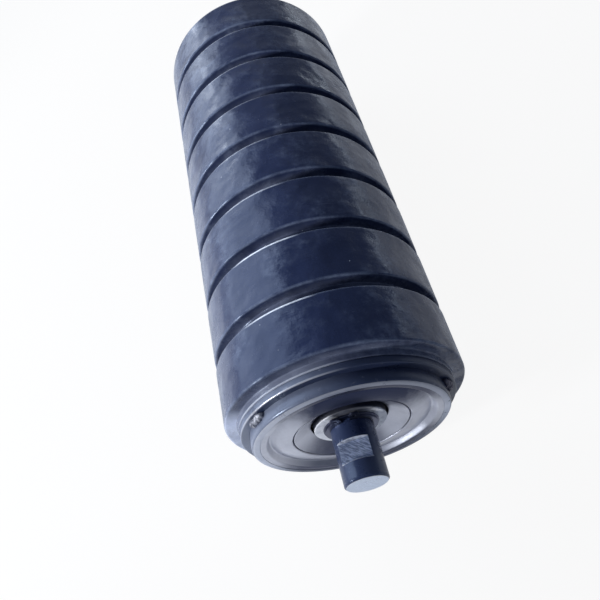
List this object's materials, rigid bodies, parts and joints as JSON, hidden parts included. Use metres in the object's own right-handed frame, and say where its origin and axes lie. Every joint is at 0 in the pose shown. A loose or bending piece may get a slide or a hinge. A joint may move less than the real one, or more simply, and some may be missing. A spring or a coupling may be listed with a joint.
{
  "type": "impact idler roller",
  "caption": "Conveyor impact roller: rubber rings pushed on a steel tube that turns on ball bearings around a fixed shaft with flats at both ends.",
  "frame": {"origin": "middle of the roller, on its axis", "axes": "+Y along the roller axis, away from the end seen in the picture; +Z out of the upper shaft flats"},
  "size_m": [0.14, 0.415, 0.14],
  "materials": {
    "ring_rubber": "semi-matt moulded rubber",
    "tube_paint": "dark satin paint",
    "keeper_paint": "dark satin paint",
    "weld_metal": "painted weld bead",
    "housing_paint": "satin grey paint",
    "shaft_paint": "thin dark blue paint, worn at the ends",
    "bearing_steel": "ground",
    "cage_steel": "pressed",
    "dark_plastic": "moulded",
    "pale_plastic": "moulded",
    "circlip_steel": "black spring steel"
  },
  "bodies": {
    "shaft": {"shaft": "shaft_paint", "front_inner_race": "bearing_steel", "front_inner_labyrinth": "pale_plastic", "front_thrust_washer": "circlip_steel", "front_circlip": "circlip_steel", "rear_inner_race": "bearing_steel", "rear_inner_labyrinth": "pale_plastic", "rear_thrust_washer": "circlip_steel", "rear_circlip": "circlip_steel"},
    "roller": {"shell_tube": "tube_paint", "rubber_ring_1": "ring_rubber", "rubber_ring_2": "ring_rubber", "rubber_ring_3": "ring_rubber", "rubber_ring_4": "ring_rubber", "rubber_ring_5": "ring_rubber", "rubber_ring_6": "ring_rubber", "rubber_ring_7": "ring_rubber", "rubber_ring_8": "ring_rubber", "front_retaining_ring": "keeper_paint", "front_tack_welds": "weld_metal", "front_bearing_housing": "housing_paint", "front_outer_race": "bearing_steel", "front_outer_labyrinth": "dark_plastic", "front_dust_cap": "housing_paint", "rear_retaining_ring": "keeper_paint", "rear_tack_welds": "weld_metal", "rear_bearing_housing": "housing_paint", "rear_outer_race": "bearing_steel", "rear_outer_labyrinth": "dark_plastic", "rear_dust_cap": "housing_paint"},
    "front_cage": {"front_balls": "bearing_steel", "front_ball_cage": "cage_steel"},
    "rear_cage": {"rear_balls": "bearing_steel", "rear_ball_cage": "cage_steel"}
  },
  "joints": [
    {"name": "roller_spin", "type": "hinge", "parent": "shaft", "child": "roller", "pos_m": [0, 0, 0], "axis": [0, 1, 0], "continuous": true},
    {"name": "front_cage_spin", "type": "hinge", "parent": "shaft", "child": "front_cage", "pos_m": [0, -0.1524, 0], "axis": [0, 1, 0], "continuous": true},
    {"name": "rear_cage_spin", "type": "hinge", "parent": "shaft", "child": "rear_cage", "pos_m": [0, 0.1524, 0], "axis": [0, 1, 0], "continuous": true}
  ],
  "couplings": [
    {"joint": "front_cage_spin", "follows": "roller_spin", "ratio": 0.63218},
    {"joint": "rear_cage_spin", "follows": "roller_spin", "ratio": 0.63218}
  ]
}
